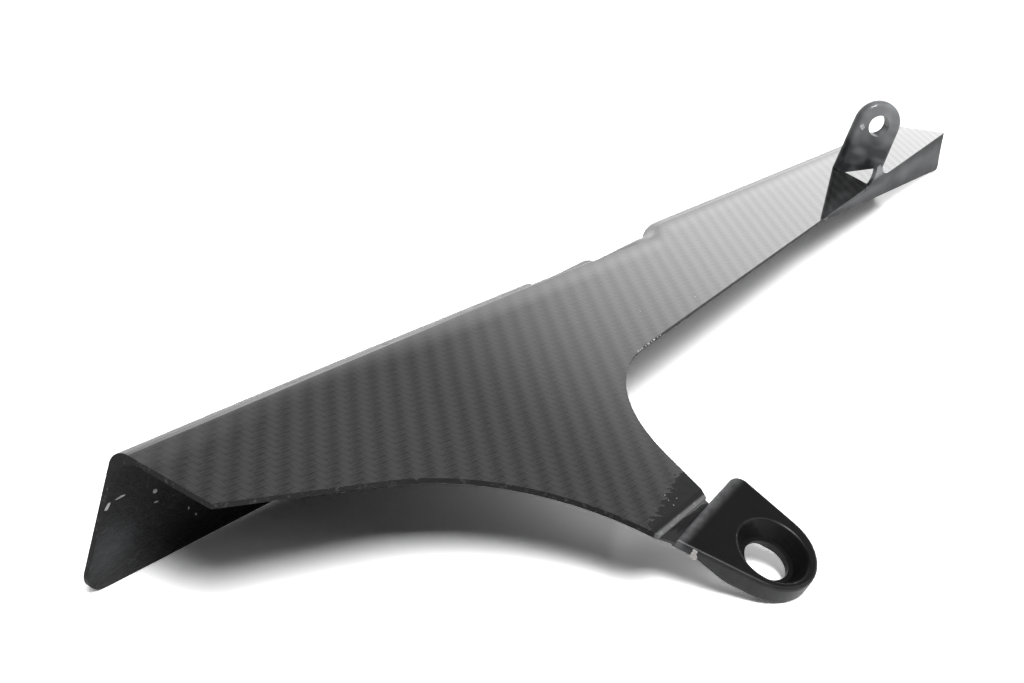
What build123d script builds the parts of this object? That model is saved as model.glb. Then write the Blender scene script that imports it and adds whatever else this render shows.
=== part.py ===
"""One-piece carbon-fibre chain guard, in millimetres, lying as it rests on a table.

The guard is drawn in its mould frame: X runs along the fold from the front end to the rear tip, Y runs
across with the flange at +Y, and Z points out of the panel's outer face. The finished solid is then
seated on its three resting points, with +Z up and X still along the fold.
"""
import math
import os

from build123d import *

# Moulded sheet and its fold
laminate = 1.2
fold_outer_radius = 4.2
fold_inner_radius = 6.0

# Panel outline
panel_length = 480.0
front_width = 23.8
front_lead = 0.6
front_edge_angle = 25.0
arm_reach = 83.6
arm_width = 22.6
arm_station = 60.0
arm_front_radius = 50.0
arm_rear_radius = 58.0
arm_rear_angle = 60.0
waist_station = 147.0
waist_width = 40.2
free_edge_angle = 3.6
rear_cut_length = 26.0

# Ridge line, faintly bowed, then swung out part of the way along
ridge_lead_angle = 0.6
bow_radius = 6600.0
swing_station = 207.5
swing_offset = 4.2
swing_radius = 17.2
ridge_return_angle = 0.2

# Flange, upright along the guard and flared outwards at its front end
flange_lean = -2.0
flange_front_lean = 6.0
flare_length = 110.0
flange_front_depth = 35.8
flange_rear_depth = 12.4
flange_corner_radius = 5.8

# Front mounting tab
front_tab_station = 83.0
front_tab_gap = 1.0
front_tab_drop = 0.9
front_tab_bend = 14.5
front_tab_twist = 11.3
front_tab_radius = 10.6
front_tab_length = 15.1
front_tab_flare = 5.2
front_tab_far_flare = 1.4
front_tab_corner_radius = 2.7
front_tab_thickness = 5.0
front_tab_root_thickness = 1.8
front_tab_root_length = 4.5
front_tab_ramp_length = 9.5
front_tab_edge_radius = 0.9
front_bolt_shift = 0.5
front_bolt_setback = 0.9
front_bolt_radius = 4.9
recess_radius = 8.0
recess_depth = 3.4
recess_floor_radius = 5.9
recess_rim_radius = 0.7
joint_groove = 0.9
arm_lip_length = 2.0
arm_lip_drop = 0.7
arm_lap = 1.0

# Rear mounting tab
rear_tab_station = 354.8
rear_tab_offset = 10.8
rear_tab_turn = 47.0
rear_tab_base = 18.9
rear_tab_radius = 9.1
rear_tab_hole_shift = 11.3
rear_tab_hole_height = 19.7
rear_tab_thickness = 5.0
rear_tab_edge_radius = 2.0
rear_tab_toe = 1.2
rear_tab_heel_rise = 4.4
rear_tab_foot_slope = 1.6
rear_bolt_radius = 4.1
neck_station = 345.0
neck_length = 36.0
neck_head_shift = 14.0
neck_head_width = 8.5
neck_rise = 5.6
neck_thickness = 1.4

# Tail strip along the free edge
tail_length = 188.0
tail_depth = 15.7
tail_lean = 12.0
tail_edge_radius = 2.2
tail_end_setback = 4.0
tail_end_hollow = 1.5
tail_corner_radius = 3.0

# Room that trimming shapes leave around the guard, and how finely its resting points are found
margin = 20.0
touch_tolerance = 0.02
seat_rounds = 20


def heading(angle):
    """Unit vector in the panel's plane, at an angle to the fold."""
    return Vector(math.cos(math.radians(angle)), math.sin(math.radians(angle)), 0)


def free_edge_y(x):
    """Y of the panel's straight free edge."""
    return -waist_width + (x - waist_station) * math.tan(math.radians(free_edge_angle))


def tangent_point(corner, centre, radius, side):
    """Point where a line from the corner touches a circle; side is 1 for its left and -1 for its right."""
    reach = centre - corner
    spread = math.degrees(math.asin(radius / reach.length))
    run = math.sqrt(reach.length ** 2 - radius ** 2)
    return corner + reach.normalized().rotate(Axis.Z, side * spread) * run


def folded_section(leg, depth, lean, outer_radius, inner_radius):
    """Section of the sheet across a fold: a flat leg, then a side turned down and leaning outwards."""
    slope = math.tan(math.radians(lean))
    wall = laminate / math.cos(math.radians(lean))
    outer_corner = (0, 0)
    inner_corner = (slope * laminate - wall, -laminate)
    outline = Polyline(
        (-leg, 0), outer_corner, (slope * depth, -depth), (slope * depth - wall, -depth),
        inner_corner, (-leg, -laminate), close=True,
    )
    section = make_face(outline)
    section = fillet(section.vertices().sort_by_distance(outer_corner)[0], outer_radius)
    return fillet(section.vertices().sort_by_distance(inner_corner)[0], inner_radius)


def ridge_paths():
    """Fold line in plan: the bowed stretch beside the flare, then the stretch that swings out by an S."""
    start = heading(ridge_lead_angle) * -margin
    flare_bow = math.degrees((flare_length + margin) / bow_radius)
    bow = math.degrees((swing_station + margin) / bow_radius)
    bow_end = ridge_lead_angle - bow
    cosines = heading(bow_end).X + heading(ridge_return_angle).X - swing_offset / swing_radius
    crest = math.degrees(math.acos(cosines / 2))
    flare = JernArc(start, heading(ridge_lead_angle), bow_radius, -flare_bow)
    run_in = JernArc(flare @ 1, flare % 1, bow_radius, flare_bow - bow)
    swing_out = JernArc(run_in @ 1, run_in % 1, swing_radius, crest - bow_end)
    swing_back = JernArc(swing_out @ 1, swing_out % 1, swing_radius, -crest - ridge_return_angle)
    rest = panel_length - (swing_back @ 1).X
    run_out = Line(swing_back @ 1, (swing_back @ 1) + (swing_back % 1) * rest)
    return flare, Wire([run_in, swing_out, swing_back, run_out]), run_out


def plan_outline():
    """Panel seen from above, left open past the fold and past the rear tip."""
    front_corner = Vector(0, -front_width, 0)
    straight = arm_station - arm_front_radius * (1 - math.sin(math.radians(front_edge_angle)))
    straight_end = front_corner + heading(-front_edge_angle) * (straight / heading(front_edge_angle).X)
    front_edge = Line(front_corner, straight_end)
    front_arc = JernArc(straight_end, front_edge % 1, arm_front_radius, front_edge_angle - 90)
    arm_front_end = Vector(arm_station, -arm_reach, 0)
    arm_rear_end = Vector(arm_station + arm_width, -arm_reach, 0)

    rise = math.tan(math.radians(arm_rear_angle))
    fall = math.tan(math.radians(free_edge_angle))
    corner_x = (free_edge_y(0) + arm_reach + rise * arm_rear_end.X) / (rise - fall)
    corner = Vector(corner_x, free_edge_y(corner_x), 0)
    run = arm_rear_radius * math.tan(math.radians((arm_rear_angle - free_edge_angle) / 2))
    arm_rear = Line(arm_rear_end, corner - heading(arm_rear_angle) * run)
    rear_arc = JernArc(arm_rear @ 1, arm_rear % 1, arm_rear_radius, free_edge_angle - arm_rear_angle)
    past_tip = panel_length + margin
    past_front = -front_lead * (margin + front_width) / front_width
    closing = Polyline(
        rear_arc @ 1, (past_tip, free_edge_y(past_tip)), (past_tip, margin), (past_front, margin),
        front_corner,
    )
    arm_end = Polyline(front_arc @ 1, arm_front_end, arm_rear_end)
    return make_face([front_edge, front_arc, *arm_end.edges(), arm_rear, rear_arc, *closing.edges()])


def side_outline():
    """Guard seen from the flange's side, down to the flange's tapering lower edge."""
    foot = (-front_lead, -flange_front_depth)
    outline = Polyline(
        (-margin, margin), (panel_length, margin), (panel_length, -flange_rear_depth), foot,
        (-front_lead, -laminate), (-margin, -laminate), close=True,
    )
    face = make_face(outline)
    return fillet(face.vertices().sort_by_distance(foot)[0], flange_corner_radius)


def rear_cut(run_out):
    """Everything past the oblique rear end, which runs from the ridge to the tip of the free edge."""
    tip = Vector(panel_length, free_edge_y(panel_length), 0)
    station = panel_length - rear_cut_length
    slope = (run_out % 0).Y / (run_out % 0).X
    ridge_end = Vector(station, (run_out @ 0).Y + (station - (run_out @ 0).X) * slope, 0)
    along = (tip - ridge_end).normalized() * (margin * 2)
    far_x = panel_length + margin * 4
    start, end = ridge_end - along, tip + along
    face = make_face(Polyline(start, end, (far_x, end.Y), (far_x, start.Y), close=True))
    return extrude(face, flange_front_depth * 2, both=True)


def section_plane(origin, tangent):
    """Plane across a path, with its X pointing to the left and its Y up."""
    return Plane(origin=origin, x_dir=Vector(-tangent.Y, tangent.X), z_dir=tangent)


def folded_sheet(flare, ridge):
    """Panel with its flange: a folded strip along the ridge and the flat sheet beside it."""
    leg = fold_inner_radius * 2
    depth = flange_front_depth + margin
    start_lean = flange_front_lean + (flange_front_lean - flange_lean) * margin / flare_length
    flared_end = section_plane(flare @ 0, flare % 0) * folded_section(
        leg, depth, start_lean, fold_outer_radius, fold_inner_radius,
    )
    upright_end = section_plane(flare @ 1, flare % 1) * folded_section(
        leg, depth, flange_lean, fold_outer_radius, fold_inner_radius,
    )
    strip = sweep([flared_end, upright_end], path=flare, multisection=True)
    strip += sweep(upright_end, path=ridge)
    outline = plan_outline()
    past_seam = Pos(panel_length / 2, margin - leg / 2) * Rectangle(panel_length * 2, margin * 2)
    flat = extrude(outline - past_seam, -laminate)
    prism = Pos(0, 0, margin) * extrude(outline, -(flange_front_depth + margin * 2))
    side = extrude(Plane.XZ * side_outline(), panel_length, both=True)
    return (strip + flat) & prism & side


def arm_lip(sheet):
    """Sheet with the top of the arm's end sloped off towards the tab."""
    middle = Vector(arm_station + arm_width / 2, -arm_reach, 0)
    edge = sheet.edges().sort_by_distance(middle)[0]
    top = sheet.faces().filter_by(Axis.Z).sort_by_distance(middle + Vector(0, laminate, 0))[0]
    return chamfer(edge, arm_lip_length, arm_lip_drop, reference=top)


def front_tab_plane():
    """Top face of the front tab: bent down and twisted out of the panel's plane."""
    bend = math.radians(front_tab_bend)
    twist = math.radians(front_tab_twist)
    return Plane(
        origin=(front_tab_station, -arm_reach - front_tab_gap, -front_tab_drop),
        x_dir=(math.cos(twist), 0, math.sin(twist)),
        z_dir=(-math.sin(twist) * math.cos(bend), -math.sin(bend), math.cos(twist) * math.cos(bend)),
    )


def front_tab():
    """Thick tongue with rounded edges, a dished recess and the bolt hole through its floor."""
    centre = Vector(0, -front_tab_length)
    near_corner = Vector(-front_tab_radius - front_tab_flare, 0)
    far_corner = Vector(front_tab_radius + front_tab_far_flare, 0)
    near_side = tangent_point(near_corner, centre, front_tab_radius, -1)
    far_side = tangent_point(far_corner, centre, front_tab_radius, 1)
    tongue = make_face(Polyline(near_corner, far_corner, far_side, centre, near_side, close=True))
    tongue += Pos(centre) * Circle(front_tab_radius)
    tongue = fillet(tongue.vertices().sort_by_distance(far_corner)[0], front_tab_corner_radius)
    body = extrude(tongue, -front_tab_thickness)
    rims = body.faces().filter_by(Axis.Z).edges()
    body = fillet(rims, front_tab_edge_radius)

    floor = front_tab_thickness + margin
    ramp = make_face(Polyline(
        (margin, -front_tab_root_thickness),
        (-front_tab_root_length, -front_tab_root_thickness),
        (-front_tab_root_length - front_tab_ramp_length, -front_tab_thickness),
        (-front_tab_root_length - front_tab_ramp_length, -floor),
        (margin, -floor), close=True,
    ))
    body -= extrude(Plane.YZ * ramp, margin * 2, both=True)

    bolt = Vector(-front_bolt_shift, -front_tab_length - front_bolt_setback)
    dish = Pos(bolt.X, bolt.Y, -recess_depth / 2) * Cone(recess_floor_radius, recess_radius, recess_depth)
    body -= dish
    body -= Pos(bolt) * Cylinder(front_bolt_radius, floor * 2)
    rim_place = Vector(bolt.X + recess_radius, bolt.Y)
    body = fillet(body.edges().sort_by_distance(rim_place)[0], recess_rim_radius)
    return front_tab_plane() * body


def front_bridge():
    """Short web from the end of the arm down to the tab's root, set back to leave a groove on top."""
    lap_y = -arm_reach + arm_lap
    arm_end = [
        (arm_station, lap_y, -joint_groove),
        (arm_station + arm_width, lap_y, -joint_groove),
        (arm_station + arm_width, lap_y, -laminate),
        (arm_station, lap_y, -laminate),
    ]
    near = -front_tab_radius - front_tab_flare + front_tab_edge_radius
    far = arm_station + arm_width - front_tab_station
    plane = front_tab_plane()
    root = [
        plane.from_local_coords((across, -front_tab_edge_radius, -depth))
        for across, depth in (
            (near, joint_groove), (far, joint_groove),
            (far, front_tab_root_thickness), (near, front_tab_root_thickness),
        )
    ]
    ends = [make_face(Polyline(*corners, close=True)) for corners in (arm_end, root)]
    return loft(ends, ruled=True)


def rear_tab_plane():
    """Upright plane through the middle of the rear tab, with its base line on the panel."""
    along = heading(-rear_tab_turn)
    return Plane(
        origin=(rear_tab_station, -rear_tab_offset, 0), x_dir=along, z_dir=along.cross(Vector(0, 0, 1)),
    )


def rear_tab():
    """Upright plate with a rounded head and a bolt hole, its foot rising clear of the panel past the toe."""
    centre = Vector(rear_tab_hole_shift, rear_tab_hole_height)
    toe, heel = Vector(0, -rear_tab_toe), Vector(rear_tab_base, -rear_tab_toe)
    toe_side = tangent_point(toe, centre, rear_tab_radius, 1)
    heel_side = tangent_point(heel, centre, rear_tab_radius, -1)
    plate = make_face(Polyline(toe, heel, heel_side, centre, toe_side, close=True))
    plate += Pos(centre) * Circle(rear_tab_radius)
    body = extrude(plate, rear_tab_thickness / 2, both=True)
    rims = body.faces().filter_by(Axis.Z).edges().filter_by(lambda edge: edge.center().Y > 0)
    body = fillet(rims, rear_tab_edge_radius)
    rise = Vector(rear_tab_base, rear_tab_heel_rise + rear_tab_toe, 0)
    fall = Vector(0, -rear_tab_foot_slope, rear_tab_thickness)
    foot = Plane(origin=(0, -rear_tab_toe, rear_tab_thickness / 2), x_dir=rise, z_dir=fall.cross(rise))
    body = split(body, bisect_by=foot, keep=Keep.TOP)
    body -= Pos(centre) * Cylinder(rear_bolt_radius, rear_tab_thickness * 2)
    return rear_tab_plane() * body


def rear_neck():
    """Web that carries the tail strip's side up from the free edge to the heel of the rear tab."""
    along = heading(free_edge_angle)
    lean = math.radians(tail_lean)
    outward = along.cross(Vector(0, 0, 1)) * math.cos(lean) + Vector(0, 0, math.sin(lean))
    plane = Plane(origin=(neck_station, free_edge_y(neck_station), 0), x_dir=along, z_dir=outward)
    head_end = neck_head_shift + neck_head_width
    front_hollow = Bezier((0, 0), (neck_head_shift, 0), (neck_head_shift, neck_rise))
    rear_hollow = Bezier((head_end, neck_rise), (head_end, 0), (neck_length, 0))
    foot = Polyline((neck_length, 0), (neck_length, -laminate), (0, -laminate), (0, 0))
    head = Line(front_hollow @ 1, rear_hollow @ 0)
    web = make_face([front_hollow, head, rear_hollow, *foot.edges()])
    return extrude(plane * web, -neck_thickness)


def tail_strip():
    """Side turned down along the rear of the free edge, growing from nothing to its full depth."""
    along = heading(free_edge_angle)
    start_x = panel_length - tail_length
    start = Vector(start_x, free_edge_y(start_x), 0)
    length = tail_length / along.X
    section = folded_section(tail_edge_radius * 4, tail_depth + margin, tail_lean, tail_edge_radius, laminate)
    outward = along.cross(Vector(0, 0, 1))
    end_plane = Plane(origin=start, x_dir=outward, z_dir=along * -1)
    strip = extrude(end_plane * section, -length)

    tip, heel = Vector(length, 0), Vector(length - tail_end_setback, -tail_depth)
    middle = (tip + heel) / 2 + Vector(-tail_end_hollow, 0)
    rest = Polyline(heel, (0, -laminate), (0, margin), (length, margin), tip)
    side = make_face([ThreePointArc(tip, middle, heel), *rest.edges()])
    side = fillet(side.vertices().sort_by_distance(heel)[0], tail_corner_radius)
    side_plane = Plane(origin=start, x_dir=along, z_dir=outward)
    return strip & extrude(side_plane * side, margin, both=True)


def resting_plane(*supports):
    """Table plane that touches the lowest point of each of three supports."""
    clouds = [support.tessellate(touch_tolerance)[0] for support in supports]
    up = Vector(0, 0, 1)
    for _ in range(seat_rounds):
        feet = [min(cloud, key=lambda point: point.dot(up)) for cloud in clouds]
        up = (feet[1] - feet[0]).cross(feet[2] - feet[0]).normalized()
        up = up if up.Z > 0 else -up
    return Plane(origin=feet[0], x_dir=Vector(1, 0, 0) - up * up.X, z_dir=up)


flare, ridge, ridge_run_out = ridge_paths()
past_rear = rear_cut(ridge_run_out)
sheet = folded_sheet(flare, ridge) - past_rear
tail = tail_strip() - past_rear
tongue = front_tab()
guard = arm_lip(sheet) + tail + front_bridge() + tongue + rear_neck() + rear_tab()
guard = guard.clean()

table = resting_plane(sheet, tongue, tail)
seated = table.location.inverse() * guard
box = seated.bounding_box()
seat = Pos(-box.center().X, -box.center().Y, -box.min.Z) * table.location.inverse()
chain_guard = seat * guard

os.makedirs("parts", exist_ok=True)
export_step(chain_guard, "parts/chain_guard.step")
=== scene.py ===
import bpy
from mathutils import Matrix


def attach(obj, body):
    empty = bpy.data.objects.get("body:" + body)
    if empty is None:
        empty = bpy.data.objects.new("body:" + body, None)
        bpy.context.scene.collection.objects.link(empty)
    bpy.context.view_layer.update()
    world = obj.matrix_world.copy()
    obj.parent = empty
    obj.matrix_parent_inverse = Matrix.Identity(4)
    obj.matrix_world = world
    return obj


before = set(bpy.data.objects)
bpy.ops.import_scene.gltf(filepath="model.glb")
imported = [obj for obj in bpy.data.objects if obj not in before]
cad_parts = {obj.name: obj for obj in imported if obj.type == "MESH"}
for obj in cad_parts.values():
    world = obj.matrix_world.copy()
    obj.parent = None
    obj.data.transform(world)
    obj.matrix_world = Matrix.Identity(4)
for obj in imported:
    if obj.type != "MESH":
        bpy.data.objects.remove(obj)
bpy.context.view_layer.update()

import math
import bmesh
import bpy
from mathutils import Matrix, Vector, noise

# The guard's shell: one moulding of carbon cloth, a tapered panel folded over a rounded
# ridge into a flange, with an arm and two bolt tabs moulded on. Every finish is placed
# by the mould: millimetres along the fold, across the panel and up from its outer face.
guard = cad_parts["chain_guard"]
mould_axes = Matrix((
    (0.99949, 0.00597, 0.03151),
    (0.00000, 0.98252, -0.18616),
    (-0.03207, 0.18607, 0.98201),
))
mould_origin = Vector((-239.055, 47.934, 34.617))
to_mould = mould_axes.transposed()
mm_per_metre = 1000


def add_node(tree, kind, inputs=None, **settings):
    """Puts a node in a tree, with its settings, and its inputs linked or set."""
    made = tree.nodes.new(kind)
    for name, value in settings.items():
        setattr(made, name, value)
    for key, value in (inputs or {}).items():
        if isinstance(value, bpy.types.NodeSocket):
            tree.links.new(value, made.inputs[key])
        else:
            made.inputs[key].default_value = value
    return made


def new_group(name, inputs, outputs):
    """An empty shader group with named sockets, and its two end nodes."""
    tree = bpy.data.node_groups.new(name, "ShaderNodeTree")
    for socket, kind in inputs:
        tree.interface.new_socket(socket, in_out="INPUT", socket_type="NodeSocket" + kind)
    for socket, kind in outputs:
        tree.interface.new_socket(socket, in_out="OUTPUT", socket_type="NodeSocket" + kind)
    return tree, tree.nodes.new("NodeGroupInput"), tree.nodes.new("NodeGroupOutput")


def send(tree, ends, results):
    """Links what a group has worked out to its named outputs."""
    for name, result in results.items():
        tree.links.new(result, ends.inputs[name])


mould_place, _, ends = new_group(
    "mould_place", [], [("Place", "Vector"), ("Facing", "Vector")])
tree = mould_place
where = add_node(tree, "ShaderNodeTexCoord").outputs["Object"]
faces = add_node(tree, "ShaderNodeNewGeometry").outputs["True Normal"]
turn = to_mould.to_euler()
in_mould = add_node(tree, "ShaderNodeMapping", {
    "Vector": where,
    "Location": -(to_mould @ mould_origin),
    "Rotation": turn,
    "Scale": (mm_per_metre, mm_per_metre, mm_per_metre),
})
turned = add_node(tree, "ShaderNodeMapping", {
    "Vector": faces,
    "Rotation": turn,
}, vector_type="VECTOR")
send(tree, ends, {"Place": in_mould.outputs[0], "Facing": turned.outputs[0]})

# Where each finish lies on the moulding: the cloth skin on its outer faces, the bare
# bag side inside, the solid front tab, the rear tab with its strip, and the trimmed
# edges that were sawn and filed after the part came out of the mould.
flange_line = -8.0
arm_line = -60.0
front_tab_line = -83.65
arm_underside = -1.65
arm_top = 0.05
rear_tab_line = 300.0
rear_tab_foot = 0.3
strip_line = 296.0
flat_facing = 0.5
flange_facing = 0.35


def calc(tree, operation, *values):
    """One sum in a tree: the socket with its answer."""
    inputs = dict(enumerate(values))
    return add_node(tree, "ShaderNodeMath", inputs, operation=operation).outputs[0]


def split(tree, vector):
    """A vector's X, Y and Z."""
    return add_node(tree, "ShaderNodeSeparateXYZ", {0: vector}).outputs


def both(tree, first, second):
    """Two masks, or a mask and a share, multiplied."""
    return calc(tree, "MULTIPLY", first, second)


def either(tree, first, second):
    """The greater of two masks."""
    return calc(tree, "MAXIMUM", first, second)


def without(tree, mask):
    """A mask turned round."""
    return calc(tree, "SUBTRACT", 1.0, mask)


def above(tree, value, line):
    """1 where the value is over a line."""
    return calc(tree, "GREATER_THAN", value, line)


def below(tree, value, line):
    """1 where the value is under a line."""
    return calc(tree, "LESS_THAN", value, line)


def fade(tree, value, start, end):
    """A soft step: 0 where value is at start, 1 where it is at end."""
    inputs = {"Value": value, "From Min": start, "From Max": end}
    made = add_node(tree, "ShaderNodeMapRange", inputs, interpolation_type="SMOOTHSTEP")
    return made.outputs["Result"]


guard_finishes, ends_in, ends = new_group(
    "guard_finishes",
    [("Place", "Vector"), ("Facing", "Vector")],
    [("Skin", "Float"), ("Inside", "Float"), ("Tab", "Float"), ("Rear", "Float"), ("Cut", "Float")])
tree = guard_finishes
place = split(tree, ends_in.outputs["Place"])
facing = split(tree, ends_in.outputs["Facing"])
by_flange = above(tree, place["Y"], flange_line)
on_arm = below(tree, place["Y"], arm_line)
under_arm = both(tree, on_arm, below(tree, place["Z"], arm_underside))
over_arm = both(tree, on_arm, above(tree, place["Z"], arm_top))
front_tab = below(tree, place["Y"], front_tab_line)
front_tab = either(tree, front_tab, either(tree, under_arm, over_arm))
rear_tab = both(
    tree, above(tree, place["Z"], rear_tab_foot), above(tree, place["X"], rear_tab_line))
strip = both(tree, above(tree, place["X"], strip_line), without(tree, by_flange))
strip = both(tree, strip, fade(tree, facing["Y"], -0.1, -0.45))
rear = either(tree, rear_tab, strip)
plain = without(tree, either(tree, rear, front_tab))
on_top = above(tree, facing["Z"], flat_facing)
flange_out = both(tree, above(tree, facing["Y"], flange_facing), by_flange)
skin = both(tree, either(tree, on_top, flange_out), plain)
under = below(tree, facing["Z"], -flat_facing)
flange_in = both(tree, below(tree, facing["Y"], -flange_facing), by_flange)
inside = both(tree, either(tree, under, flange_in), plain)
cut = calc(tree, "SUBTRACT", plain, either(tree, skin, inside))
send(tree, ends, {
    "Skin": skin, "Inside": inside, "Tab": front_tab, "Rear": rear, "Cut": cut})

# The cloth: 2x2 twill of 3K tows, 1.65 mm from tow to tow, laid a few degrees off the
# ridge and wrapped over it without a seam. Each tow goes over two and under two, and
# the floats line up in slanting ribs. Its grey is the weave's pattern with painted sheen
# and painted shade: weft floats are painted lighter, and the valleys between ribs, the
# edges of the floats and the ends where tows dive are painted darker.
tow_pitch = 1.65
tow_turn = math.radians(-4.4)
repeat = 4.0
strand_along = 0.6
strand_across = 9.0
valley = 2.7


def blend(tree, mask, low, high):
    """One number where the mask is 0 and another where it is 1."""
    inputs = {0: mask, 2: low, 3: high}
    return add_node(tree, "ShaderNodeMix", inputs, data_type="FLOAT").outputs[0]


def crowned(tree, part, power):
    """A tow's round back: 1 in its middle and 0 at both ends of a part from 0 to 1."""
    off_middle = calc(tree, "ABSOLUTE", calc(tree, "MULTIPLY_ADD", part, 2.0, -1.0))
    return without(tree, calc(tree, "POWER", off_middle, power))


twill_cloth, ends_in, ends = new_group(
    "twill_cloth",
    [("Place", "Vector")],
    [("WeaveSheenShade", "Float"), ("Relief", "Float")])
tree = twill_cloth
place = split(tree, ends_in.outputs["Place"])
wrapped = calc(tree, "SUBTRACT", place["Y"], place["Z"])
flat = add_node(tree, "ShaderNodeCombineXYZ", {0: place["X"], 1: wrapped}).outputs[0]
on_tows = add_node(tree, "ShaderNodeMapping", {
    "Vector": flat,
    "Rotation": (0, 0, -tow_turn),
    "Scale": (1 / tow_pitch, 1 / tow_pitch, 1),
}).outputs[0]
tows = split(tree, on_tows)
warp_row = calc(tree, "FLOOR", tows["X"])
weft_row = calc(tree, "FLOOR", tows["Y"])
warp_part = calc(tree, "FRACT", tows["X"])
weft_part = calc(tree, "FRACT", tows["Y"])
step = calc(tree, "FLOORED_MODULO", calc(tree, "SUBTRACT", warp_row, weft_row), repeat)
weft_on_top = below(tree, step, 1.5)
across = blend(tree, weft_on_top, weft_part, warp_part)
weft_along = calc(tree, "ADD", without(tree, step), weft_part)
warp_along = calc(tree, "ADD", calc(tree, "SUBTRACT", step, 2.0), warp_part)
along = calc(tree, "MULTIPLY", blend(tree, weft_on_top, warp_along, weft_along), 0.5)
relief = calc(tree, "MULTIPLY", crowned(tree, across, 2.0), crowned(tree, along, 3.0))
strand_x = calc(tree, "MULTIPLY", tows["X"], blend(tree, weft_on_top, strand_along, strand_across))
strand_y = calc(tree, "MULTIPLY", tows["Y"], blend(tree, weft_on_top, strand_across, strand_along))
strand_place = add_node(tree, "ShaderNodeCombineXYZ", {0: strand_x, 1: strand_y}).outputs[0]
strand = add_node(tree, "ShaderNodeTexNoise", {
    "Vector": strand_place, "Scale": 1.0, "Detail": 2.0}, noise_dimensions="2D").outputs["Fac"]
ripple = calc(tree, "COSINE", calc(tree, "MULTIPLY", across, 4 * math.pi))
dive_shade = blend(tree, weft_on_top, 1.0, fade(tree, along, 0.0, 0.4))
rib_valley_shade = calc(tree, "SUBTRACT", tows["X"], tows["Y"])
rib_valley_shade = calc(tree, "FLOORED_MODULO", calc(tree, "MULTIPLY_ADD", relief, 0.5, rib_valley_shade), repeat)
rib_valley_shade = fade(tree, calc(tree, "ABSOLUTE", calc(tree, "SUBTRACT", rib_valley_shade, valley)), 0.2, 1.1)
# Painted sheen and shade on top of the strand noise: weft floats lighter; valleys, float edges and
# diving ends darker.
weave_sheen_shade = calc(tree, "MULTIPLY", strand, 0.5)
for part, share in ((ripple, -0.07), (dive_shade, 0.2), (relief, 0.12), (weft_on_top, 0.1), (rib_valley_shade, 0.2)):
    weave_sheen_shade = calc(tree, "MULTIPLY_ADD", part, share, weave_sheen_shade)
send(tree, ends, {"WeaveSheenShade": weave_sheen_shade, "Relief": relief})

# The wear and roughness of a hand-laid part: scuffs on trimmed edges, a brush-marked bag
# side with a painted pool of light low inside the near end, soft mottling on the rear tab
# and strip with a painted lighter stripe down the strip and painted light growing up the
# tab, rings left by the spot facer in the front tab's recess.
lit_haze_centre = (4.0, 1.0, -25.0)
strip_root = 292.0
strip_slope = -12.0
bolt_centre = (84.1, -99.0, -8.9)
bolt_axis = (-0.19, -0.25, 0.95)
recess_radius = 8.3
ring_turns = 8.5


def vector_calc(tree, operation, *vectors):
    """One vector sum in a tree: its outputs, Vector and Value."""
    inputs = dict(enumerate(vectors))
    return add_node(tree, "ShaderNodeVectorMath", inputs, operation=operation).outputs


def grain(tree, place, scale, detail):
    """Noise over the moulding, with its scale in spots per millimetre."""
    inputs = {"Vector": place, "Scale": scale, "Detail": detail, "Roughness": 0.6}
    return add_node(tree, "ShaderNodeTexNoise", inputs).outputs["Fac"]


guard_wear, ends_in, ends = new_group(
    "guard_wear",
    [("Place", "Vector")],
    [("Grain", "Float"), ("Scuff", "Float"), ("BrushedAndLit", "Float"), ("CloudAndLight", "Float"),
     ("Ring", "Float"), ("Recess", "Float")])
tree = guard_wear
mould_spot = ends_in.outputs["Place"]
place = split(tree, mould_spot)
fine = grain(tree, mould_spot, 0.55, 5.0)
scuff = fade(tree, grain(tree, mould_spot, 0.9, 4.0), 0.55, 0.72)
drawn = add_node(tree, "ShaderNodeMapping", {
    "Vector": mould_spot, "Rotation": (0, 0.5, 0), "Scale": (0.5, 1, 2.6)}).outputs[0]
fibres = fade(tree, grain(tree, drawn, 0.9, 3.0), 0.56, 0.7)
patches = fade(tree, grain(tree, mould_spot, 0.09, 2.0), 0.45, 0.62)
# Painted light: a mottled lighter patch low on the bag side at the near end, where light reaches
# inside.
lit_haze = vector_calc(tree, "DISTANCE", mould_spot, lit_haze_centre)["Value"]
lit_haze = both(tree, fade(tree, lit_haze, 9.0, 1.0), fine)
brushed_and_lit = calc(tree, "MULTIPLY_ADD", fibres, patches, lit_haze)
# Painted highlight: a lighter stripe down the middle of the strip, and painted light growing
# towards the rear tab's top, over noise mottling.
past_root = calc(tree, "MAXIMUM", calc(tree, "SUBTRACT", place["X"], strip_root), 1.0)
down_strip = calc(tree, "DIVIDE", calc(tree, "MULTIPLY", place["Z"], strip_slope), past_root)
strip_middle_highlight = fade(tree, calc(tree, "ABSOLUTE", calc(tree, "SUBTRACT", down_strip, 0.5)), 0.5, 0.0)
light_up_tab = fade(tree, place["Z"], 8.0, 26.0)
smeared = add_node(tree, "ShaderNodeMapping", {
    "Vector": mould_spot, "Scale": (0.22, 1, 1)}).outputs[0]
cloud_and_light = calc(tree, "MULTIPLY_ADD", grain(tree, smeared, 0.16, 1.0), 1.0, -0.4)
cloud_and_light = calc(tree, "MULTIPLY_ADD", calc(tree, "ADD", strip_middle_highlight, light_up_tab), 0.4, cloud_and_light)
from_bolt = vector_calc(tree, "SUBTRACT", mould_spot, bolt_centre)["Vector"]
from_bolt = vector_calc(tree, "CROSS_PRODUCT", from_bolt, bolt_axis)["Vector"]
from_bolt = vector_calc(tree, "LENGTH", from_bolt)["Value"]
recess = below(tree, from_bolt, recess_radius)
ring = both(tree, calc(tree, "SINE", calc(tree, "MULTIPLY", from_bolt, ring_turns)), recess)
send(tree, ends, {
    "Grain": fine, "Scuff": scuff, "BrushedAndLit": brushed_and_lit, "CloudAndLight": cloud_and_light, "Ring": ring,
    "Recess": recess})

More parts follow.
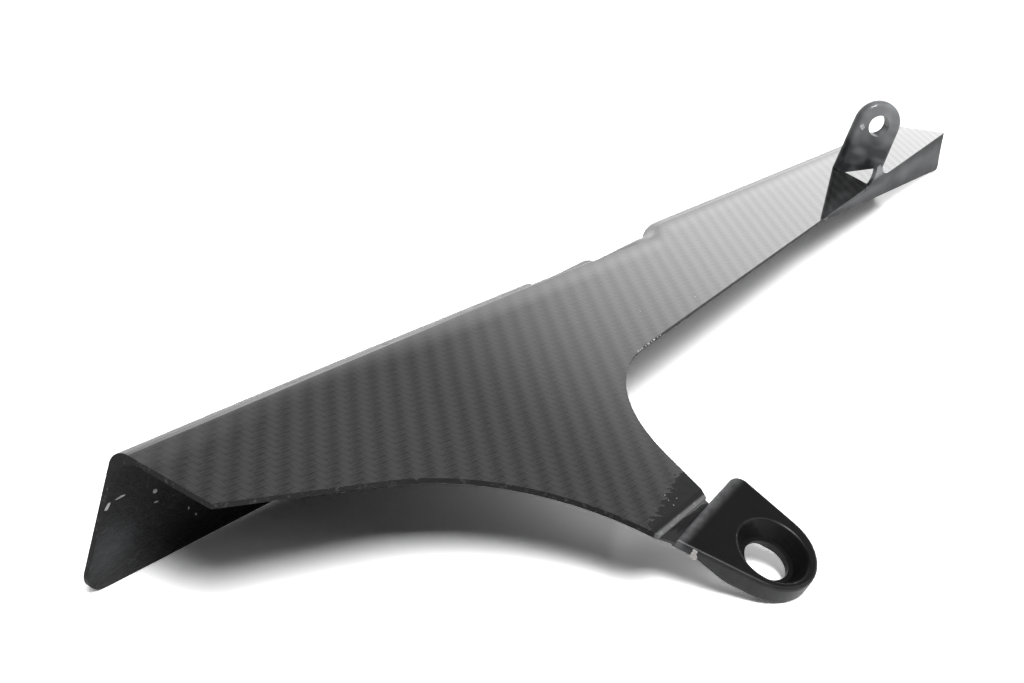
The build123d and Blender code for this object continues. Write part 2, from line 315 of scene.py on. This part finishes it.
# How the panel rolls over towards its ridge: the flat falls away gently over the last few
# millimetres before the fold, and the fold itself bows and swings out behind the waist.
bow_middle = 50.0
bow_rise = 0.15
bow_curve = -0.000077
swing_start, swing_end = 205.0, 222.0
swing_offset = 3.22
swing_slope = -0.0035
roll_start, ease_start, ease_end = -11.0, -4.0, -1.0
roll_curve = -0.010
ease_slope = -0.14


def distance_in(tree, value, start, end):
    """How far a value has gone from start towards end, and no further."""
    return add_node(tree, "ShaderNodeMapRange", {
        "Value": value, "From Min": start, "From Max": end,
        "To Min": 0.0, "To Max": end - start}).outputs["Result"]


ridge_roll, ends_in, ends = new_group("ridge_roll", [("Place", "Vector")], [("Drop", "Float")])
tree = ridge_roll
place = split(tree, ends_in.outputs["Place"])
bow = calc(tree, "ABSOLUTE", calc(tree, "SUBTRACT", place["X"], bow_middle))
bow = calc(tree, "MULTIPLY_ADD", calc(tree, "POWER", bow, 2.0), bow_curve, bow_rise)
swung = calc(tree, "MULTIPLY_ADD", place["X"], swing_slope, swing_offset)
ridge = blend(tree, fade(tree, place["X"], swing_start, swing_end), bow, swung)
inward = calc(tree, "SUBTRACT", place["Y"], ridge)
rolled = distance_in(tree, inward, roll_start, ease_start)
eased = distance_in(tree, inward, ease_start, ease_end)
drop = calc(tree, "MULTIPLY", calc(tree, "MULTIPLY", rolled, rolled), roll_curve)
slowed = calc(tree, "MULTIPLY", calc(tree, "MULTIPLY", eased, eased), 1 / 6)
drop = calc(tree, "MULTIPLY_ADD", calc(tree, "SUBTRACT", eased, slowed), ease_slope, drop)
send(tree, ends, {"Drop": drop})

# The shell's finish: clear gloss over the cloth, dull black resin where the cloth ends in
# a ragged line on the arm, satin black on the front tab with a painted highlight along its
# arm-side edge and a painted bluish highlight on its recess's near rim, mottled grey on the
# rear tab and strip with painted reflection making the tab paler, a brush-marked bag side
# inside with a painted pool of light, a painted highlight on the arm's rounded end, and
# pale scrapes where edges were trimmed by hand.
cloth_dark = (0.003, 0.003, 0.0032, 1)
cloth_light = (0.032, 0.032, 0.032, 1)
black_resin = (0.004, 0.004, 0.0042, 1)
bag_haze_and_light = (0.05, 0.053, 0.058, 1)
scuff_and_highlight_grey = (0.16, 0.16, 0.165, 1)
scraped_lip_highlight = (0.24, 0.24, 0.245, 1)
filed_side = (0.03, 0.03, 0.032, 1)
rim_highlight_blue = (0.13, 0.145, 0.17, 1)
rear_dark = (0.02, 0.021, 0.023, 1)
strip_cloud = (0.15, 0.155, 0.16, 1)
rear_tab_cloud_and_sheen = (0.3, 0.31, 0.32, 1)
cut_wear = 0.3
tab_gloss = 0.12
rear_tab_gloss = 0.5
bare_rough, cloth_rough, fold_rough, tab_rough, resin_rough = 0.5, 0.03, 0.3, 0.34, 0.55
bare_uneven, cloth_uneven = 0.14, 0.02
tow_height = 0.0006
bag_grain, edge_grain = 0.4, 0.03
ring_height = 0.008


def place_group(tree, group, **inputs):
    """Puts a shader group in a tree: its outputs."""
    return add_node(tree, "ShaderNodeGroup", inputs, node_tree=group).outputs


def tint(tree, mask, low, high):
    """One colour where the mask is 0 and another where it is 1."""
    inputs = {0: mask, 6: low, 7: high}
    return add_node(tree, "ShaderNodeMix", inputs, data_type="RGBA").outputs[2]


carbon = bpy.data.materials.new("carbon_moulding")
carbon.use_nodes = True
tree = carbon.node_tree
tree.nodes.clear()
here = place_group(tree, mould_place)
finish = place_group(tree, guard_finishes, Place=here["Place"], Facing=here["Facing"])
wear = place_group(tree, guard_wear, Place=here["Place"])
cloth = place_group(tree, twill_cloth, Place=here["Place"])
roll = place_group(tree, ridge_roll, Place=here["Place"])
spot = split(tree, here["Place"])
faced = split(tree, here["Facing"])
cloth_end = calc(tree, "MULTIPLY_ADD", spot["X"], -0.21, spot["Y"])
cloth_end = calc(tree, "MULTIPLY_ADD", wear["Grain"], 9.0, cloth_end)
cloth_seen = either(
    tree, fade(tree, cloth_end, -89.3, -88.7), above(tree, spot["Y"], arm_line))
cloth_seen = both(tree, cloth_seen, finish["Skin"])
resin_end = calc(tree, "SUBTRACT", finish["Skin"], cloth_seen)
# The weave's grey, with its painted sheen and painted shade, between the two cloth colours.
colour = tint(tree, fade(tree, cloth["WeaveSheenShade"], 0.2, 1.0), cloth_dark, cloth_light)
colour = tint(tree, cloth_seen, black_resin, colour)
# The bag side's brush marks and its painted pool of light, in one pale grey.
colour = tint(tree, both(tree, wear["BrushedAndLit"], finish["Inside"]), colour, bag_haze_and_light)
colour = tint(tree, both(tree, wear["Scuff"], both(tree, finish["Cut"], cut_wear)), colour, scuff_and_highlight_grey)
# Painted highlight on the arm's rounded end next to the front tab, mottled like a scrape.
lip_highlight_scrape = both(tree, fade(tree, spot["Y"], -82.5, -83.1), without(tree, finish["Tab"]))
lip_highlight_scrape = both(tree, lip_highlight_scrape, calc(tree, "MULTIPLY_ADD", wear["Scuff"], 0.5, 0.5))
colour = tint(tree, lip_highlight_scrape, colour, scraped_lip_highlight)
tab_side = below(tree, calc(tree, "ABSOLUTE", faced["Z"]), 0.55)
tab_side = both(tree, tab_side, calc(tree, "SUBTRACT", finish["Tab"], wear["Recess"]))
colour = tint(tree, both(tree, tab_side, wear["Grain"]), colour, filed_side)
# Painted highlight: a pale mottled stripe along the front tab's rounded edge on the arm's side. The
# same pale grey marks real scuffs on trimmed edges.
tab_edge_highlight = both(tree, fade(tree, spot["Y"], -87.4, -85.0), finish["Tab"])
tab_edge_highlight = both(tree, tab_edge_highlight, fade(tree, faced["Y"], -0.6, -0.3))
colour = tint(tree, both(tree, tab_edge_highlight, wear["Grain"]), colour, scuff_and_highlight_grey)
# Painted highlight: pale bluish patches on the recess's rim towards the near end, broken up by
# scuff noise.
rim_highlight = both(tree, wear["Recess"], fade(tree, spot["X"], 82.0, 77.0))
colour = tint(tree, both(tree, rim_highlight, wear["Scuff"]), colour, rim_highlight_blue)
# The rear tab is painted paler than the strip, as painted reflection, over the mottling and painted
# light.
on_rear_tab = fade(tree, spot["Z"], 0.2, 2.0)
cloudy_and_lit = tint(tree, on_rear_tab, strip_cloud, rear_tab_cloud_and_sheen)
colour = tint(tree, finish["Rear"], colour, tint(tree, wear["CloudAndLight"], rear_dark, cloudy_and_lit))
folded = fade(tree, roll["Drop"], -0.3, -0.7)
gloss = both(tree, cloth_seen, calc(tree, "MULTIPLY_ADD", cloth["WeaveSheenShade"], 0.45, 0.3))
gloss = both(tree, gloss, fade(tree, roll["Drop"], -0.45, -0.02))
gloss = calc(tree, "MULTIPLY_ADD", finish["Tab"], tab_gloss, gloss)
gloss = calc(
    tree, "MULTIPLY_ADD", both(tree, finish["Rear"], on_rear_tab), rear_tab_gloss, gloss)
rough = blend(tree, cloth_seen, bare_rough, blend(tree, folded, cloth_rough, fold_rough))
rough = blend(tree, finish["Tab"], rough, tab_rough)
rough = blend(tree, resin_end, rough, resin_rough)
uneven = blend(tree, cloth_seen, bare_uneven, cloth_uneven)
rough = calc(tree, "MULTIPLY_ADD", wear["Grain"], uneven, rough)
grainy = blend(tree, finish["Inside"], edge_grain, bag_grain)
grainy = blend(tree, cloth_seen, grainy, 0.0)
height = both(tree, roll["Drop"], finish["Skin"])
height = calc(
    tree, "MULTIPLY_ADD", cloth["Relief"], both(tree, cloth_seen, tow_height), height)
height = calc(tree, "MULTIPLY_ADD", wear["Grain"], grainy, height)
height = calc(
    tree, "MULTIPLY_ADD", wear["Ring"], both(tree, finish["Tab"], ring_height), height)
bump = add_node(tree, "ShaderNodeBump", {
    "Strength": 1.0, "Distance": 1 / mm_per_metre, "Height": height}).outputs["Normal"]
shader = add_node(tree, "ShaderNodeBsdfPrincipled", {
    "Base Color": colour,
    "Roughness": rough,
    "IOR": 1.5,
    "Specular IOR Level": 0.25,
    "Coat Weight": gloss,
    "Coat Roughness": 0.05,
    "Normal": bump,
})
add_node(tree, "ShaderNodeOutputMaterial", {"Surface": shader.outputs[0]})
guard.material_slots[0].material = carbon

# Flecks of pale resin and filler left on the moulding by hand: splashes inside the near
# end, dry specks where the cloth ends on the arm, and two on the panel behind the waist;
# and a painted highlight: a pale fleck on the rear tab where its edge catches the light.
flange_inside = (-0.02, -0.99, -0.11)
panel_top = (0, 0, 1)
rear_tab_front = (-0.73, -0.68, 0)
flecks = (
    ((0.3, 0.2, -13.6), flange_inside, 1.9, 1.2, 150),
    ((3.3, 0.0, -12.5), flange_inside, 2.6, 0.5, 95),
    ((12.6, 0.1, -15.0), flange_inside, 1.4, 1.0, 60),
    ((13.7, 0.4, -18.1), flange_inside, 1.2, 0.5, 80),
    ((24.0, 0.7, -24.0), flange_inside, 1.0, 0.5, 20),
    ((26.6, 0.8, -26.6), flange_inside, 1.1, 0.6, 40),
    ((74.6, -77.6, 0.0), panel_top, 0.5, 0.2, 10),
    ((73.4, -79.0, 0.0), panel_top, 0.4, 0.2, 80),
    ((75.6, -79.8, 0.0), panel_top, 0.3, 0.2, 130),
    ((72.6, -80.6, 0.0), panel_top, 0.5, 0.2, 40),
    ((154.2, -30.1, 0.0), panel_top, 0.6, 0.5, 0),
    ((178.6, -34.8, 0.0), panel_top, 0.8, 0.5, 30),
    # Painted highlight: a pale fleck on the rear tab where a white highlight shows.
    ((356.1, -15.9, 18.3), rear_tab_front, 2.4, 2.0, 20),
)
fleck_flatness = 0.3
fleck_lumps = 0.5


def add_fleck(shape, place, facing, length, width, spin):
    """A lumpy flat fleck on the moulding: its place and facing in the mould, its sizes."""
    stood = Vector(facing).to_track_quat("Z", "X").to_matrix().to_4x4()
    stood = stood @ Matrix.Rotation(math.radians(spin), 4, "Z")
    thickness = width * fleck_flatness
    made = bmesh.ops.create_icosphere(shape, subdivisions=2, radius=0.5)["verts"]
    for point in made:
        lump = 1 + fleck_lumps * noise.noise(point.co * 4 + Vector(place))
        flat = Vector((point.co.x * length, point.co.y * width, point.co.z * thickness)) * lump
        on_mould = Vector(place) + stood @ flat
        point.co = (mould_origin + mould_axes @ on_mould) / mm_per_metre


def new_piece(name, shape, material):
    """An object of a finished shape and its material, put in the scene."""
    mesh = bpy.data.meshes.new(name)
    shape.to_mesh(mesh)
    shape.free()
    mesh.materials.append(material)
    piece = bpy.data.objects.new(name, mesh)
    bpy.context.scene.collection.objects.link(piece)
    return piece


fleck_shape = bmesh.new()
for place, facing, length, width, spin in flecks:
    add_fleck(fleck_shape, place, facing, length, width, spin)
pale_resin_and_highlight = bpy.data.materials.new("pale_resin_and_highlight")
pale_resin_and_highlight.use_nodes = True
tree = pale_resin_and_highlight.node_tree
here = place_group(tree, mould_place)
wear = place_group(tree, guard_wear, Place=here["Place"])
dry = tree.nodes["Principled BSDF"]
chalky = tint(tree, wear["Scuff"], (0.35, 0.35, 0.36, 1), (0.75, 0.75, 0.76, 1))
tree.links.new(chalky, dry.inputs["Base Color"])
tree.links.new(calc(tree, "MULTIPLY_ADD", wear["Grain"], 0.4, 0.2), dry.inputs["Roughness"])
resin_flecks_and_highlight = new_piece("resin_flecks_and_highlight", fleck_shape, pale_resin_and_highlight)
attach(resin_flecks_and_highlight, "root")

# A drip of clear resin that squeezed out of the mould under the front tab's near edge and
# was never trimmed: a small frosted nub, cured on to the tab's side.
drip_shape = bmesh.new()
add_fleck(drip_shape, (69.6, -88.6, -6.3), (-0.92, -0.29, -0.26), 2.6, 1.9, 0)
add_fleck(drip_shape, (69.9, -88.0, -6.9), (-0.6, -0.3, -0.75), 1.8, 1.6, 40)
clear_resin = bpy.data.materials.new("clear_resin")
clear_resin.use_nodes = True
tree = clear_resin.node_tree
here = place_group(tree, mould_place)
wear = place_group(tree, guard_wear, Place=here["Place"])
clear = tree.nodes["Principled BSDF"]
frosted = tint(tree, wear["Grain"], (0.5, 0.47, 0.46, 1), (0.85, 0.82, 0.80, 1))
tree.links.new(frosted, clear.inputs["Base Color"])
tree.links.new(calc(tree, "MULTIPLY_ADD", wear["Grain"], 0.4, 0.15), clear.inputs["Roughness"])
clear.inputs["Transmission Weight"].default_value = 0.5
resin_drip = new_piece("resin_drip", drip_shape, clear_resin)
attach(resin_drip, "root")

# A row of small pale flecks laid along the trimmed edge at the waist.
waist_start = Vector((131.4, -41.5, -0.1))
waist_end = Vector((146.2, -40.3, -0.3))
edge_facing = (0.0, -0.6, 0.8)
along_edge = 90
waist_marks = (
    (0.00, 1.3, 0.5), (0.10, 0.7, 0.4), (0.19, 1.0, 0.4), (0.34, 0.6, 0.4), (0.47, 1.2, 0.5),
    (0.60, 0.5, 0.4), (0.72, 0.9, 0.4), (0.88, 0.6, 0.4), (1.00, 0.8, 0.4))
waist_mark_shape = bmesh.new()
for share, length, width in waist_marks:
    on_edge = waist_start.lerp(waist_end, share)
    add_fleck(waist_mark_shape, on_edge, edge_facing, length, width, along_edge)
waist_edge_marks = new_piece("waist_edge_marks", waist_mark_shape, pale_resin_and_highlight)
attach(waist_edge_marks, "root")

# The floor: a plain white studio board, faintly glossy, that the guard lies on. It is
# brighter to the camera than to the guard, so it comes out white and keeps the shadow.
floor_half = 1.5
lit_white, mirrored_white, seen_white = 0.9, 1.1, 1.7
board_rough = 0.12


def grey(level):
    """A neutral colour."""
    return (level, level, level, 1)


floor_shape = bmesh.new()
bmesh.ops.create_grid(floor_shape, x_segments=1, y_segments=1, size=floor_half)
floor_white = bpy.data.materials.new("floor_white")
floor_white.use_nodes = True
tree = floor_white.node_tree
board = tree.nodes["Principled BSDF"]
rays = add_node(tree, "ShaderNodeLightPath").outputs
paper = tint(tree, rays["Is Glossy Ray"], grey(lit_white), grey(mirrored_white))
paper = tint(tree, rays["Is Camera Ray"], paper, grey(seen_white))
tree.links.new(paper, board.inputs["Base Color"])
board.inputs["Roughness"].default_value = board_rough
floor = new_piece("floor", floor_shape, floor_white)

# The light: a dim room with two paler walls, a soft box above the camera's side that
# whitens the floor, a weak one at the arm's side, and a broad low one behind the guard,
# fading out at its top, for the gloss to mirror.
room_level, far_level, beside_level = 0.05, 0.40, 0.6
far_wall = (0.80, 0.45, 0.40)
beside_wall = (0.52, 0.74, 0.42)
world = bpy.data.worlds.new("studio")
bpy.context.scene.world = world
world.use_nodes = True
tree = world.node_tree
tree.nodes.clear()
way = add_node(tree, "ShaderNodeTexCoord").outputs["Generated"]
away = vector_calc(tree, "DOT_PRODUCT", way, far_wall)["Value"]
beside = vector_calc(tree, "DOT_PRODUCT", way, beside_wall)["Value"]
room = blend(tree, fade(tree, away, 0.7, 0.96), room_level, far_level)
room = calc(tree, "MULTIPLY_ADD", fade(tree, beside, 0.92, 0.99), beside_level, room)
seen = add_node(tree, "ShaderNodeLightPath").outputs["Is Camera Ray"]
level = blend(tree, seen, room, 1.0)
sky = add_node(tree, "ShaderNodeBackground", {"Color": grey(1), "Strength": level})
add_node(tree, "ShaderNodeOutputWorld", {"Surface": sky.outputs[0]})


def soft_box(name, place, aim, width, height, power):
    """An area lamp at a place, turned to an aim."""
    lamp = bpy.data.lights.new(name, "AREA")
    lamp.shape = "RECTANGLE"
    lamp.size = width
    lamp.size_y = height
    lamp.energy = power
    made = bpy.data.objects.new(name, lamp)
    made.location = place
    made.rotation_euler = (Vector(aim) - Vector(place)).to_track_quat("-Z", "Y").to_euler()
    bpy.context.scene.collection.objects.link(made)
    return lamp


soft_box("front_box", (-0.88, -0.79, 1.49), (0, 0, 0), 0.7, 0.7, 40)
soft_box("side_box", (0.4, -1.5, 0.9), (0, 0, 0), 1.2, 1.2, 8)
rear_box = soft_box("rear_box", (2.675, 2.02, 0.6), (-0.275, 1.47, 0.03), 8.0, 2.7, 110)
rear_box.use_nodes = True
tree = rear_box.node_tree
over_box = add_node(tree, "ShaderNodeNewGeometry").outputs["Parametric"]
high = split(tree, over_box)["Y"]
tree.links.new(fade(tree, high, 0.95, 0.66), tree.nodes["Emission"].inputs["Strength"])

# The camera: at the near end of the guard and just above it, looking down its length, with
# a normal lens and everything sharp.
camera_data = bpy.data.cameras.new("camera")
camera_data.lens = 50
camera_data.sensor_width = 36
camera = bpy.data.objects.new("camera", camera_data)
camera.location = (-0.40302, -0.13145, 0.14806)
camera.rotation_euler = (1.20368, -0.04904, -1.01765)
bpy.context.scene.collection.objects.link(camera)
bpy.context.scene.camera = camera
bpy.context.scene.view_settings.view_transform = "Standard"
